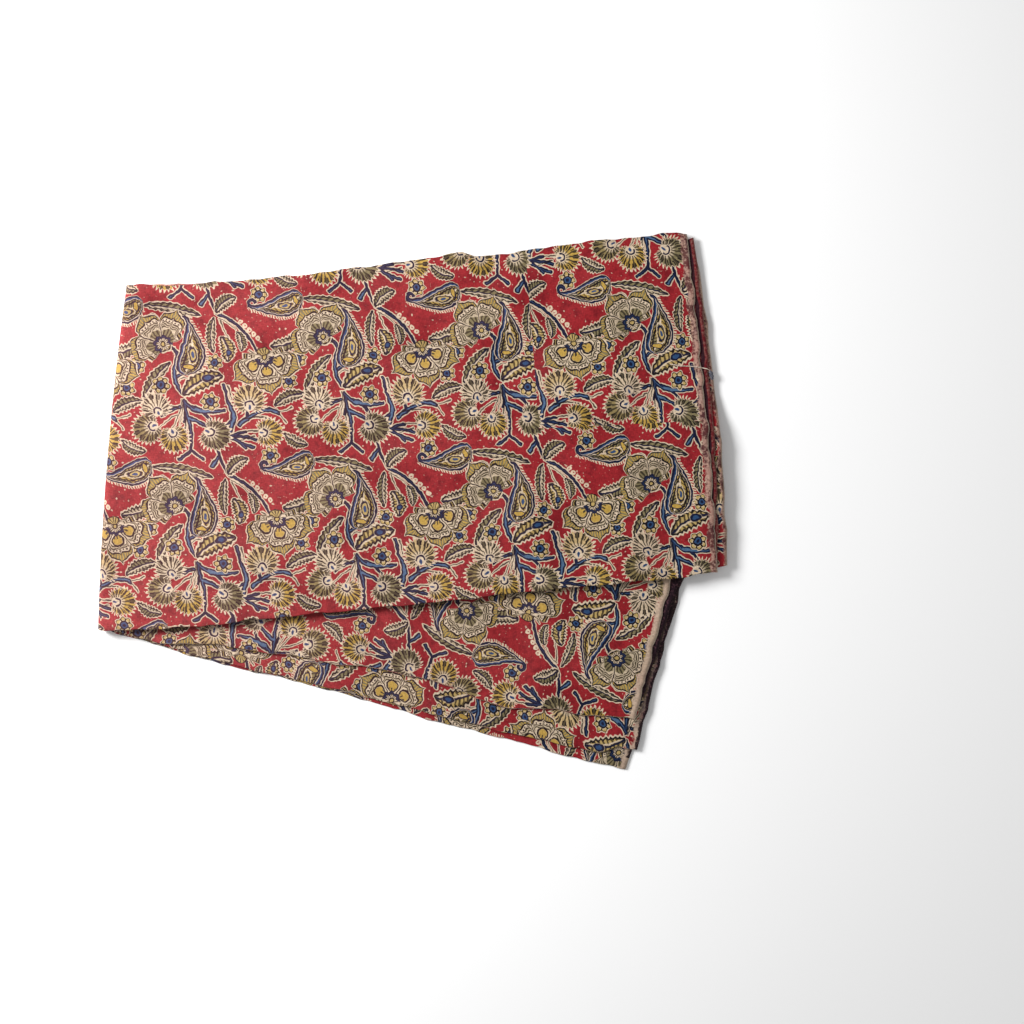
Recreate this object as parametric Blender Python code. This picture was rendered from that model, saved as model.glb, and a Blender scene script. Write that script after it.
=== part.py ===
# Folded panel of block-printed cotton: one length of thin cloth, folded back and forth along its length
# into six leaves, then folded once across its width by a slanted last fold, so that the under half fans out.
#
# The cloth is one closed solid. Its section is the back-and-forth line of the six leaves. That section runs
# from the selvedges of the upper half to the last fold on the left, round it, and back to the selvedges of
# the lower half. A place on the cloth is given by "along", the distance along the weft from the last fold
# (negative on the lower half), and "up", the distance up the warp from the front folds.

import math

import bpy

# Sizes in metres.
CLOTH = 0.0010          # thickness of the sheet
LAYER_GAP = 0.0003      # air between two leaves
HALF_GAP = 0.0006       # air between the upper and the lower half
LEAVES = 6
BACK = 0.3235           # height of a leaf, front fold to back fold

# The last fold, in plan.
FOLD_FRONT = (-0.2904, -0.1238)     # its front end, from the middle of the panel
FOLD_LEAN = math.radians(4.68)      # its lean to the right, from straight back
FOLD_SKEW = math.radians(10.18)     # its slant against the warp
FOLD_BOW = 0.0046                   # how far its middle bulges outward
BOW_REACH = 0.080                   # how far inward that bulge is felt

# The upper half sinks to the ground past the back edge of the lower half, and droops past its selvedges.
DRAPE_CLEAR = 0.0020    # level stretch past the edge
DRAPE_RUN = 0.040       # length of the slope past the back edge
DROOP_RUN = 0.080       # the same past the selvedges
UNDER_SIDE = 0.5175     # selvedges of the lower half, from the last fold

# Soft rises of the pile: place (m), spread (m), and rise as a share of the height there.
RISES = (
    {"x": -0.21, "y": -0.09, "spread": 0.085, "rise": 0.10},
    {"x": -0.22, "y": 0.12, "spread": 0.080, "rise": 0.08},
    {"x": -0.02, "y": 0.15, "spread": 0.090, "rise": 0.09},
    {"x": 0.05, "y": -0.10, "spread": 0.110, "rise": 0.08},
    {"x": 0.22, "y": 0.13, "spread": 0.080, "rise": 0.12},
)

# Edges of the leaves from the outer free end to the inner one, by turns at the back and at the front. Each
# line is (along, up) in metres. "upper" and "lower" are the reach of its selvedges from the last fold.
EDGES = (
    {"name": "outer free end", "upper": 0.5835, "lower": 0.5100,
     "line": ((-0.510, BACK), (0.050, BACK), (0.100, 0.3188), (0.210, 0.3186), (0.320, 0.3217),
              (0.366, 0.3254), (0.385, 0.3196), (0.410, 0.3204), (0.490, 0.3239), (0.560, 0.3262),
              (0.585, 0.3240))},
    {"name": "front fold 1", "upper": 0.5810, "lower": 0.5095,
     "line": ((-0.510, -0.0008), (-0.469, -0.0034), (-0.400, -0.0022), (-0.324, -0.0034), (-0.250, -0.0009),
              (-0.187, -0.0006), (-0.110, -0.0030), (0.000, 0.0000), (0.095, -0.0035), (0.150, -0.0023),
              (0.330, -0.0022), (0.390, -0.0008), (0.550, -0.0012), (0.581, 0.0005))},
    {"name": "back fold 1", "upper": 0.5895, "lower": 0.5160,
     "line": ((-0.517, 0.3175), (0.050, 0.3225), (0.200, 0.3165), (0.400, 0.3150), (0.500, 0.3130),
              (0.590, 0.3050))},
    {"name": "front fold 2", "upper": 0.5912, "lower": 0.5150,
     "line": ((-0.515, 0.0203), (-0.500, 0.0180), (-0.478, 0.0070), (-0.350, 0.0030), (-0.224, 0.0020),
              (-0.110, -0.0008), (0.000, 0.0012), (0.300, 0.0020), (0.591, 0.0055))},
    {"name": "back fold 2", "upper": 0.5890, "lower": 0.5170,
     "line": ((-0.516, 0.3135), (0.050, 0.3215), (0.200, 0.3150), (0.400, 0.3120), (0.500, 0.3050),
              (0.589, 0.2900))},
    {"name": "front fold 3", "upper": 0.5862, "lower": 0.5055,
     "line": ((-0.505, 0.0465), (-0.440, 0.0375), (-0.375, 0.0265), (-0.320, 0.0330), (-0.270, 0.0320),
              (-0.200, 0.0240), (-0.110, 0.0150), (-0.050, 0.0020), (0.000, 0.0022), (0.300, 0.0040),
              (0.586, 0.0050))},
    {"name": "inner free end", "upper": 0.5850, "lower": 0.5020,
     "line": ((-0.503, 0.3195), (0.050, 0.3205), (0.300, 0.3130), (0.585, 0.3000))},
)

# How far the selvedge of each leaf bulges at mid height, past the line between its two edges.
BULGES = (
    {"upper": 0.0028, "lower": 0.0020},
    {"upper": 0.0060, "lower": 0.0030},
    {"upper": 0.0058, "lower": -0.0015},
    {"upper": 0.0045, "lower": -0.0020},
    {"upper": 0.0035, "lower": 0.0010},
    {"upper": 0.0030, "lower": 0.0008},
)

# Inner rows of the surface, the same on every leaf. On the upper half rows 2 to 5 follow the slope: "past"
# is their distance past the back edge of the lower half and "ceiling" is as far up as they go. "under" is
# their height at the selvedges of the lower half.
SLOPE_ROWS = (
    {"past": 0.002, "ceiling": 0.294, "under": 0.130},
    {"past": 0.014, "ceiling": 0.299, "under": 0.175},
    {"past": 0.026, "ceiling": 0.304, "under": 0.215},
    {"past": 0.042, "ceiling": 0.309, "under": 0.250},
)
FIRST_ROW_SHARE = 0.52      # row 1, as a share of the way up to row 2
FIRST_ROW_LIFT = 0.020      # and its extra height at the selvedges of the lower half
LAST_ROW_CEILING = 0.290    # row 6 stays a share of the way up to here above row 5, and no less than a step
LAST_ROW_SHARE = 0.45
LAST_ROW_STEP = 0.005

# Stations from the last fold (0) to the selvedges (1).
UPPER_STATIONS = (0.0, 0.03, 0.09, 0.17, 0.27, 0.38, 0.49, 0.59, 0.63, 0.71, 0.80, 0.88, 0.94, 0.98)
LOWER_STATIONS = (0.0, 0.05, 0.13, 0.23, 0.34, 0.45, 0.56, 0.67, 0.78, 0.88, 0.96)
UPPER_COMMON = 0.579    # where station 1 would be if the selvedges were even
LOWER_COMMON = 0.500
TURN_STEPS = 8          # steps round the last fold
CREASE_STEPS = 4        # steps round each fold between two leaves
SETTLE_ROUNDS = 4       # rounds to find a place where along and up depend on each other

PITCH = CLOTH + LAYER_GAP
INSET = PITCH / 2 + CLOTH / 2           # middle of a fold's bend to its outer face
PILE = LEAVES * PITCH - LAYER_GAP       # height of one half
TURN_RADIUS = HALF_GAP / 2              # inside of the last fold
DROP = PILE + HALF_GAP                  # how far the upper half can sink
ROW_COUNT = len(SLOPE_ROWS) + 4         # rows of a leaf: two beside each edge and the inner ones


def smooth(value):
    value = min(max(value, 0.0), 1.0)
    return value * value * (3.0 - 2.0 * value)


def read_line(line, along):
    # Height of an edge at a place along it, easing from point to point.
    for (x0, y0), (x1, y1) in zip(line, line[1:]):
        if along <= x1:
            return y0 + (y1 - y0) * smooth((along - x0) / (x1 - x0))
    return line[-1][1]


def front_edge(leaf):
    return leaf + 1 if leaf % 2 == 0 else leaf


def back_edge(leaf):
    return leaf if leaf % 2 == 0 else leaf + 1


def rows(along):
    # Heights of the inner rows at a place along the cloth.
    fold_top = BACK * math.tan(FOLD_SKEW)
    back_line = BACK - (along - fold_top) * math.tan(2 * FOLD_SKEW)
    lower_share = smooth((fold_top - along) / (fold_top + LOWER_COMMON))
    found = []
    for row in SLOPE_ROWS:
        upper = min(back_line + row["past"] / math.cos(2 * FOLD_SKEW), row["ceiling"])
        found.append(upper + (row["under"] - upper) * lower_share)
    last = found[-1] + max(LAST_ROW_STEP, LAST_ROW_SHARE * (LAST_ROW_CEILING - found[-1]))
    return [found[0] * FIRST_ROW_SHARE + FIRST_ROW_LIFT * lower_share] + found + [last]


def row_up(leaf, row, along):
    # Height of a row of a leaf. Rows 0 and ROW_COUNT - 1 run beside its own two edges.
    if 0 < row < ROW_COUNT - 1:
        return rows(along)[row - 1]
    number = front_edge(leaf) if row == 0 else back_edge(leaf)
    free = number in (0, LEAVES)
    inward = 1.0 if row == 0 else -1.0
    return read_line(EDGES[number]["line"], along) + (0.0 if free else inward * INSET)


def reach(leaf, row, half):
    # Distance of the selvedge from the last fold, at a row of a leaf.
    share = row / (ROW_COUNT - 1)
    front = EDGES[front_edge(leaf)][half]
    back = EDGES[back_edge(leaf)][half]
    return front + (back - front) * share + BULGES[leaf][half] * 4.0 * share * (1.0 - share)


def place_on_cloth(leaf, row, half, station):
    # The along and up of one row of a leaf at one station. Station None is the selvedge itself.
    along = 0.0
    for _ in range(SETTLE_ROUNDS):
        start = row_up(leaf, row, along) * math.tan(FOLD_SKEW)
        if station is None:
            along = reach(leaf, row, half) * (1.0 if half == "upper" else -1.0)
            break
        common = UPPER_COMMON if half == "upper" else -LOWER_COMMON
        along = start + station * (common - start)
    return along, row_up(leaf, row, along)


def section():
    # The middle line of the cloth from the outer free end to the inner one. "face" is the way the outer
    # face looks, and "bend" how far the point lies beyond the row it belongs to, both as (up, height).
    points = []
    for leaf in range(LEAVES):
        level = PILE - CLOTH / 2 - leaf * PITCH
        to_front = leaf % 2 == 0
        order = list(range(ROW_COUNT))[::-1] if to_front else list(range(ROW_COUNT))
        facing = 1.0 if to_front else -1.0
        for row in order:
            points.append({"leaf": leaf, "row": row, "bend": (0.0, level), "face": (0.0, facing)})
        if leaf == LEAVES - 1:
            continue
        outward = -1.0 if to_front else 1.0
        for step in range(1, CREASE_STEPS):
            angle = math.pi * step / CREASE_STEPS
            way = (outward * math.sin(angle), math.cos(angle))
            bend = (way[0] * PITCH / 2, level - PITCH / 2 + way[1] * PITCH / 2)
            face = (way[0] * facing, way[1] * facing)
            points.append({"leaf": leaf, "row": order[-1], "bend": bend, "face": face})
    return points


def support(off, down_fold):
    # 1 where the lower half carries the upper one, 0 where the upper half lies on the ground.
    under_along = off * math.cos(FOLD_SKEW) - down_fold * math.sin(FOLD_SKEW)
    under_up = off * math.sin(FOLD_SKEW) + down_fold * math.cos(FOLD_SKEW)
    past_back = smooth((under_up - BACK - DRAPE_CLEAR) / DRAPE_RUN)
    past_side = smooth((under_along - UNDER_SIDE - DRAPE_CLEAR) / DROOP_RUN)
    return 1.0 - max(past_back, past_side)


def swell(x, y):
    total = 0.0
    for rise in RISES:
        away = ((x - rise["x"]) ** 2 + (y - rise["y"]) ** 2) / rise["spread"] ** 2
        total += rise["rise"] * math.exp(-away)
    return total


def world(off, down_fold, height):
    # From distance off the last fold's axis, place along that axis, and height.
    share = min(max(down_fold / BACK, 0.0), 1.0)
    bow = FOLD_BOW * 4.0 * share * (1.0 - share) * math.exp(-((max(off, 0.0) / BOW_REACH) ** 2))
    off -= bow
    x = FOLD_FRONT[0] + off * math.cos(FOLD_LEAN) + down_fold * math.sin(FOLD_LEAN)
    y = FOLD_FRONT[1] - off * math.sin(FOLD_LEAN) + down_fold * math.cos(FOLD_LEAN)
    return x, y, height * (1.0 + swell(x, y))


def surface_point(point, side, half, station, turn):
    # One point of the cloth's surface, on its outer (+1) or inner (-1) face.
    along, up = place_on_cloth(point["leaf"], point["row"], half, station)
    up += point["bend"][0] + side * CLOTH / 2 * point["face"][0]
    level = point["bend"][1] + side * CLOTH / 2 * point["face"][1]
    off = along * math.cos(FOLD_SKEW) - up * math.sin(FOLD_SKEW)
    down_fold = along * math.sin(FOLD_SKEW) + up * math.cos(FOLD_SKEW)
    radius = TURN_RADIUS + level
    axis = PILE + TURN_RADIUS
    if turn is not None:
        start = max(off, 0.0)
        return world(start - radius * math.sin(turn), down_fold, axis + radius * math.cos(turn))
    if half == "lower":
        return world(-off, down_fold, axis - radius)
    return world(off, down_fold, axis + radius - DROP * (1.0 - support(off, down_fold)))


def stations():
    found = [("upper", None, None)]
    found += [("upper", station, None) for station in UPPER_STATIONS[::-1]]
    found += [("upper", 0.0, math.pi * step / TURN_STEPS) for step in range(1, TURN_STEPS)]
    found += [("lower", station, None) for station in LOWER_STATIONS]
    found += [("lower", None, None)]
    return found


def two(a, b, c, d, from_a=True):
    # The two triangles of a patch, split from its first corner or from its second.
    return [(a, b, c), (a, c, d)] if from_a else [(a, b, d), (b, c, d)]


def triangles(line, rings):
    # Both faces of the cloth, its two free ends and its selvedges. Each ring of corners is the outer face
    # from the outer free end to the inner one, then the inner face back. Patches are split the same way in
    # plan on every leaf, so that leaves stay an even gap apart.
    count = len(line)
    size = 2 * count
    last = (rings - 1) * size
    found = []
    for here in range(0, last, size):
        there = here + size
        for i in range(count - 1):
            to_front = line[i]["leaf"] % 2 == 0
            inner = size - 1 - i
            found += two(here + i, there + i, there + i + 1, here + i + 1, to_front)
            found += two(there + inner, here + inner, here + inner - 1, there + inner - 1, not to_front)
        found += two(there, here, here + size - 1, there + size - 1)
        found += two(here + count - 1, there + count - 1, there + count, here + count)
    for i in range(count - 1):
        inner = size - 1 - i
        found += two(i, i + 1, inner - 1, inner)
        found += two(last + i + 1, last + i, last + inner, last + inner - 1)
    return found


def make_cloth():
    line = section()
    corners = []
    for half, station, turn in stations():
        corners += [surface_point(point, 1.0, half, station, turn) for point in line]
        corners += [surface_point(point, -1.0, half, station, turn) for point in line[::-1]]
    faces = triangles(line, len(stations()))
    xs = [c[0] for c in corners]
    ys = [c[1] for c in corners]
    middle = ((min(xs) + max(xs)) / 2, (min(ys) + max(ys)) / 2)
    corners = [(x - middle[0], y - middle[1], z) for x, y, z in corners]
    mesh = bpy.data.meshes.new("folded_cloth")
    mesh.from_pydata(corners, [], faces)
    mesh.validate()
    return mesh


def make_material():
    material = bpy.data.materials.new("printed_cotton")
    material.use_nodes = True
    shader = material.node_tree.nodes["Principled BSDF"]
    shader.inputs["Base Color"].default_value = (0.36, 0.06, 0.07, 1.0)
    shader.inputs["Roughness"].default_value = 0.9
    shader.inputs["Metallic"].default_value = 0.0
    return material


def main():
    for old in list(bpy.data.objects):
        bpy.data.objects.remove(old, do_unlink=True)
    mesh = make_cloth()
    mesh.materials.append(make_material())
    mesh.shade_smooth()
    cloth = bpy.data.objects.new("folded_cloth", mesh)
    bpy.context.scene.collection.objects.link(cloth)


main()
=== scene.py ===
import math

import bmesh
import bpy
import numpy as np
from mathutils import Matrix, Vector

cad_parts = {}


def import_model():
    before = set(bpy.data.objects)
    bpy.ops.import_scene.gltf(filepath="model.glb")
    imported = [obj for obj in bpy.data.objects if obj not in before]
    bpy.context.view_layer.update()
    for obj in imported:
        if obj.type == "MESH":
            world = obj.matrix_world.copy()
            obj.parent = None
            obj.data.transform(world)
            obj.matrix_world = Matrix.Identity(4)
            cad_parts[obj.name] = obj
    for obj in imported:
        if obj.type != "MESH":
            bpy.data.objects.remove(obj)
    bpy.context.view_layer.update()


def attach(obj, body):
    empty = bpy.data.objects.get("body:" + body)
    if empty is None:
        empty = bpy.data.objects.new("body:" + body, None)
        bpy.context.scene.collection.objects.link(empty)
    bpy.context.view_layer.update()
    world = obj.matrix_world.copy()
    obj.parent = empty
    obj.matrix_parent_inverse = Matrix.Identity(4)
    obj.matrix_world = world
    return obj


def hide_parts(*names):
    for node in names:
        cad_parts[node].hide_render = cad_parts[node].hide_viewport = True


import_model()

# Folded length of block-printed cotton. Metres, seen from above, warp running away from the camera.
# "along" is the way along the weft from the last fold, negative on the lower half.
# "up" is the way up the warp from the front folds.
cloth = {
    "thickness": 0.0005,
    "pitch": 0.0013,          # from one leaf to the next
    "halfGap": 0.0006,        # air between the two halves
    "leaves": 6,
    "leafHeight": 0.3235,
    "flat": (1.12, 1.95),
    "foldFront": (-0.2904, -0.1238),
    "foldLean": math.radians(4.68),
    "foldSkew": math.radians(10.18),
    "foldBow": 0.0046,
    "bowReach": 0.080,
    "pile": 0.0075,           # height of one half
    "drapeClear": 0.0020,     # past the lower half, before the upper one starts to sink to the floor
    "drapeRun": 0.040,        # over which it sinks, past the back edge and past the selvedges
    "droopRun": 0.080,
    "underSide": 0.5175,
    "creaseSteps": 6,
    "turnSteps": 14,
    "upperStations": 112,
    "lowerStations": 90,
    "endCrowd": 0.35,
    "margin": 0.0005,         # kept clear over the top leaf and inside each fold
    "waveEase": 8,            # the selvedges' waves die out this fast towards the folds
    "rounds": 5,              # for the slant of the last fold to settle
}

# Edges of the leaves, by turns at the back and at the front. "upper" and "lower" say where they meet the
# selvedges, and each line is (along, up).
back = cloth["leafHeight"]
leafEdges = (
    {"name": "outer free end", "upper": 0.5835, "lower": 0.5100,
     "line": ((-0.510, back), (0.050, back), (0.100, 0.3188), (0.210, 0.3186), (0.320, 0.3217),
              (0.366, 0.3254), (0.385, 0.3196), (0.410, 0.3204), (0.490, 0.3239), (0.545, 0.3238),
              (0.572, 0.3244), (0.585, 0.3226))},
    {"name": "front fold 1", "upper": 0.5810, "lower": 0.5095,
     "line": ((-0.510, -0.0008), (-0.469, -0.0034), (-0.400, -0.0022), (-0.324, -0.0034),
              (-0.250, -0.0009), (-0.187, -0.0006), (-0.110, -0.0030), (0.000, 0.0000),
              (0.095, -0.0035), (0.150, -0.0023), (0.330, -0.0022), (0.390, -0.0008),
              (0.550, -0.0012), (0.581, 0.0005))},
    {"name": "back fold 1", "upper": 0.5895, "lower": 0.5160,
     "line": ((-0.517, 0.3175), (0.050, 0.3225), (0.200, 0.3165), (0.400, 0.3150), (0.500, 0.3140),
              (0.575, 0.3170), (0.590, 0.3190))},
    {"name": "front fold 2", "upper": 0.5912, "lower": 0.5150,
     "line": ((-0.515, 0.0203), (-0.500, 0.0180), (-0.478, 0.0070), (-0.350, 0.0030), (-0.224, 0.0020),
              (-0.110, -0.0008), (0.000, 0.0012), (0.300, 0.0020), (0.591, 0.0055))},
    {"name": "back fold 2", "upper": 0.5890, "lower": 0.5170,
     "line": ((-0.516, 0.3135), (0.050, 0.3215), (0.200, 0.3150), (0.400, 0.3120), (0.500, 0.3050),
              (0.589, 0.2900))},
    {"name": "front fold 3", "upper": 0.5862, "lower": 0.5055,
     "line": ((-0.505, 0.0465), (-0.440, 0.0375), (-0.375, 0.0265), (-0.320, 0.0330), (-0.270, 0.0320),
              (-0.200, 0.0240), (-0.110, 0.0150), (-0.050, 0.0020), (0.000, 0.0022), (0.300, 0.0040),
              (0.586, 0.0050))},
    {"name": "inner free end", "upper": 0.5850, "lower": 0.5020,
     "line": ((-0.503, 0.3195), (0.050, 0.3205), (0.300, 0.3130), (0.585, 0.3000))},
)

# Rows of each leaf's mesh, how far they crowd to the front, and the bulge of its selvedges.
leafRows = (
    {"rows": 56, "crowd": 1.0, "upperBulge": 0.0028, "lowerBulge": 0.0020},
    {"rows": 28, "crowd": 1.1, "upperBulge": 0.0060, "lowerBulge": 0.0030},
    {"rows": 20, "crowd": 1.0, "upperBulge": 0.0058, "lowerBulge": -0.0015},
    {"rows": 20, "crowd": 1.1, "upperBulge": 0.0045, "lowerBulge": -0.0020},
    {"rows": 20, "crowd": 1.0, "upperBulge": 0.0035, "lowerBulge": 0.0010},
    {"rows": 44, "crowd": 1.2, "upperBulge": 0.0030, "lowerBulge": 0.0008},
)

# Where the block's chart starts on the flat cloth, in millimetres, its ways across and along, and how far
# the printer's rows have slipped on the inner leaves.
chart = {
    "origin": (307.7, 297.4),
    "ways": ((1.0004, -0.01937), (0.04837, 0.99972)),
    "shift": (-68.65, 1.2),
}

# Soft rises of the pile: x and y of the middle, spread, and rise as a share of the height there.
rises = (
    (-0.21, -0.09, 0.085, 0.10),
    (-0.22, 0.12, 0.080, 0.08),
    (-0.02, 0.15, 0.090, 0.09),
    (0.05, -0.10, 0.110, 0.08),
    (0.22, 0.13, 0.080, 0.12),
)

# Small creases: x and y of both ends, width, and rise as a share of the height there. The rises are all taken
# times creaseShare.
creases = (
    (0.055, 0.234, 0.066, 0.196, 0.0085, 0.16),
    (0.071, 0.230, 0.084, 0.203, 0.0050, -0.16),
    (-0.040, 0.224, -0.030, 0.060, 0.0060, -0.075),
    (-0.030, 0.060, -0.026, -0.095, 0.0050, -0.050),
    (-0.030, 0.225, -0.021, 0.100, 0.0060, 0.045),
    (0.110, 0.222, 0.116, 0.150, 0.0070, -0.060),
    (0.255, 0.225, 0.262, 0.120, 0.0060, -0.060),
    (-0.290, -0.108, -0.232, -0.112, 0.0060, -0.085),
    (-0.262, -0.124, -0.225, -0.139, 0.0050, 0.110),
    (-0.236, -0.126, -0.190, -0.150, 0.0050, 0.120),
    (-0.214, -0.125, -0.162, -0.153, 0.0038, -0.110),
    (-0.176, -0.121, -0.140, -0.145, 0.0060, 0.090),
    (-0.120, -0.124, -0.060, -0.152, 0.0055, -0.070),
    (-0.020, -0.115, 0.040, -0.160, 0.0080, 0.060),
    (-0.285, -0.060, -0.215, -0.095, 0.0090, 0.050),
    (0.060, -0.190, 0.150, -0.205, 0.0070, 0.070),
    (0.170, -0.150, 0.230, -0.190, 0.0090, 0.060),
    (-0.292, -0.1140, -0.250, -0.1085, 0.0035, 0.110),
    (-0.279, -0.1200, -0.233, -0.1160, 0.0032, 0.120),
    (-0.250, -0.1240, -0.231, -0.1410, 0.0034, 0.120),
    (-0.198, -0.1220, -0.186, -0.1460, 0.0035, 0.130),
    (-0.165, -0.1275, -0.141, -0.1520, 0.0036, 0.120),
    (-0.107, -0.1310, -0.087, -0.1620, 0.0042, 0.100),
    (-0.050, -0.1410, -0.012, -0.1790, 0.0045, 0.090),
)

creaseShare = 1.45

# Waves of the selvedges and of the folded edges: length and depth.
selvedgeWaves = ((0.043, 0.0008), (0.026, 0.0006), (0.015, 0.0004))
foldWaves = ((0.061, 0.0005), (0.033, 0.0004), (0.017, 0.0003))


def smooth(value):
    value = np.clip(value, 0.0, 1.0)
    return value * value * (3.0 - 2.0 * value)


def readLine(line, along):
    # Height of an edge at a place along it, easing from point to point.
    places = np.array([p[0] for p in line])
    heights = np.array([p[1] for p in line])
    here = np.clip(np.searchsorted(places, along) - 1, 0, len(line) - 2)
    share = smooth((along - places[here]) / (places[here + 1] - places[here]))
    height = heights[here] + (heights[here + 1] - heights[here]) * share
    for number, (length, depth) in enumerate(foldWaves):
        height = height + depth * np.sin(along / length * 2 * math.pi + number + 40 * line[0][1])
    return height


def edgesOf(leaf):
    # Numbers of a leaf's front edge and back edge.
    return (leaf + 1, leaf) if leaf % 2 == 0 else (leaf, leaf + 1)


def makeSection():
    # The line of the cloth from the outer free end to the inner one: leaf, share from front to back,
    # and how far it lies beyond that row, as (up, height), with the way its printed face looks and how far
    # round a front or back fold it is.
    section = []
    for leaf, row in enumerate(leafRows):
        level = cloth["pile"] - cloth["margin"] - leaf * cloth["pitch"]
        toFront = leaf % 2 == 0
        shares = [(i / (row["rows"] - 1)) ** row["crowd"] for i in range(row["rows"])]
        if toFront:
            shares = shares[::-1]
        facing = 1.0 if toFront else -1.0
        for share in shares:
            section.append((leaf, share, 0.0, level, 0.0, facing, 0.0))
        if leaf == cloth["leaves"] - 1:
            continue
        outward = -1.0 if toFront else 1.0
        for step in range(1, cloth["creaseSteps"]):
            angle = math.pi * step / cloth["creaseSteps"]
            way = (outward * math.sin(angle), math.cos(angle))
            half = cloth["pitch"] / 2
            section.append((leaf, shares[-1], way[0] * half, level - half + way[1] * half,
                            way[0] * facing, way[1] * facing, step / cloth["creaseSteps"]))
    return np.array(section)


def makeRings():
    # From the upper half's selvedge round the last fold to the lower one's: share of the way along, half
    # and turn. The rings crowd towards both ends of each half.
    def spread(count):
        crowd = cloth["endCrowd"]
        return [smooth(i / count) * crowd + i / count * (1.0 - crowd) for i in range(count + 1)]

    rings = [(share, 1.0, 0.0) for share in spread(cloth["upperStations"])[::-1]]
    rings += [(0.0, 0.0, math.pi * step / cloth["turnSteps"]) for step in range(1, cloth["turnSteps"])]
    rings += [(share, -1.0, math.pi) for share in spread(cloth["lowerStations"])]
    return np.array(rings)


def placeOnCloth(section, rings):
    # Along and up of every corner of the sheet.
    shape = (len(rings), len(section))
    along = np.zeros(shape)
    up = np.zeros(shape)
    inset = cloth["pitch"] / 2 + cloth["margin"]
    for leaf, row in enumerate(leafRows):
        mine = section[:, 0] == leaf
        share = section[mine, 1]
        front, backEdge = (leafEdges[n] for n in edgesOf(leaf))
        frontInset = inset if front["name"] != "inner free end" else 0.0
        backInset = inset if not backEdge["name"].endswith("free end") else 0.0
        bulge = 4.0 * share * (1.0 - share)
        reachUpper = front["upper"] + (backEdge["upper"] - front["upper"]) * share + row["upperBulge"] * bulge
        reachLower = front["lower"] + (backEdge["lower"] - front["lower"]) * share + row["lowerBulge"] * bulge
        starts, ends = smooth(cloth["waveEase"] * share), smooth(cloth["waveEase"] * (1 - share))
        for number, (length, depth) in enumerate(selvedgeWaves):
            phase = share * cloth["leafHeight"] / length * 2 * math.pi + leaf * (1.9 + number)
            reachUpper = reachUpper + depth * np.sin(phase) * starts * ends
            reachLower = reachLower + depth * np.cos(phase) * starts * ends
        side = rings[:, 1:2]
        goal = np.where(side > 0, reachUpper, np.where(side < 0, -reachLower, 0.0))
        here = np.zeros((len(rings), mine.sum()))
        for _ in range(cloth["rounds"]):
            low = readLine(front["line"], here) + frontInset
            high = readLine(backEdge["line"], here) - backInset
            height = low + (high - low) * share
            start = height * math.tan(cloth["foldSkew"])
            here = start + rings[:, 0:1] * (goal - start)
        along[:, mine] = here
        up[:, mine] = height
    return along, up


def flatten(section, rings, along, up):
    # Place of every corner on the cloth laid flat: across it, and along its length from the outer front fold.
    radius = cloth["halfGap"] / 2 + section[:, 3]
    across = along - radius * rings[:, 2:3]
    length = np.zeros_like(up)
    for leaf in range(cloth["leaves"]):
        mine = section[:, 0] == leaf
        way = 1.0 if leaf % 2 == 0 else -1.0
        length[:, mine] = way * up[:, mine] - 2 * (leaf // 2) * cloth["leafHeight"]
    turning = np.flatnonzero(section[:, 6] > 0)
    for column in turning:
        steps = int(round(section[column, 6] * cloth["creaseSteps"]))
        last, after = column - steps, column - steps + cloth["creaseSteps"]
        length[:, column] = length[:, last] + (length[:, after] - length[:, last]) * section[column, 6]
    return across, length


def chartPlace(across, length):
    # Place on the block's chart, in millimetres. The rows drift a little against the weft.
    a = across * 1000 - chart["origin"][0]
    b = length * 1000 - chart["origin"][1]
    drift = np.clip((-length / cloth["leafHeight"] - 2.0) / 2.0, 0.0, 1.0)
    x = a * chart["ways"][0][0] + b * chart["ways"][0][1] + drift * chart["shift"][0]
    y = a * chart["ways"][1][0] + b * chart["ways"][1][1] + drift * chart["shift"][1]
    return x, y


def support(off, downFold):
    # 1 where the lower half carries the upper one, 0 where the upper half lies on the ground.
    skew = cloth["foldSkew"]
    underAlong = off * math.cos(skew) - downFold * math.sin(skew)
    underUp = off * math.sin(skew) + downFold * math.cos(skew)
    pastBack = smooth((underUp - cloth["leafHeight"] - cloth["drapeClear"]) / cloth["drapeRun"])
    pastSide = smooth((underAlong - cloth["underSide"] - cloth["drapeClear"]) / cloth["droopRun"])
    return 1.0 - np.maximum(pastBack, pastSide)


def swell(x, y):
    # Soft unevenness of the pile, as a share of the height there.
    total = np.zeros_like(x)
    for x0, y0, spread, rise in rises:
        away = ((x - x0) ** 2 + (y - y0) ** 2) / spread ** 2
        total += rise * np.exp(-away)
    for x0, y0, x1, y1, width, rise in creases:
        run = ((x - x0) * (x1 - x0) + (y - y0) * (y1 - y0)) / ((x1 - x0) ** 2 + (y1 - y0) ** 2)
        near = np.clip(run, 0.0, 1.0)
        gap = (x - x0 - near * (x1 - x0)) ** 2 + (y - y0 - near * (y1 - y0)) ** 2
        total += creaseShare * rise * np.exp(-gap / width ** 2)
    return total


def world(off, downFold, height):
    # From the distance off the last fold's axis, the place along that axis, and the height.
    share = np.clip(downFold / cloth["leafHeight"], 0.0, 1.0)
    bow = cloth["foldBow"] * 4.0 * share * (1.0 - share)
    off = off - bow * np.exp(-((np.maximum(off, 0.0) / cloth["bowReach"]) ** 2))
    lean = cloth["foldLean"]
    x = cloth["foldFront"][0] + off * math.cos(lean) + downFold * math.sin(lean)
    y = cloth["foldFront"][1] - off * math.sin(lean) + downFold * math.cos(lean)
    return x, y, height * (1.0 + swell(x, y))


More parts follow.
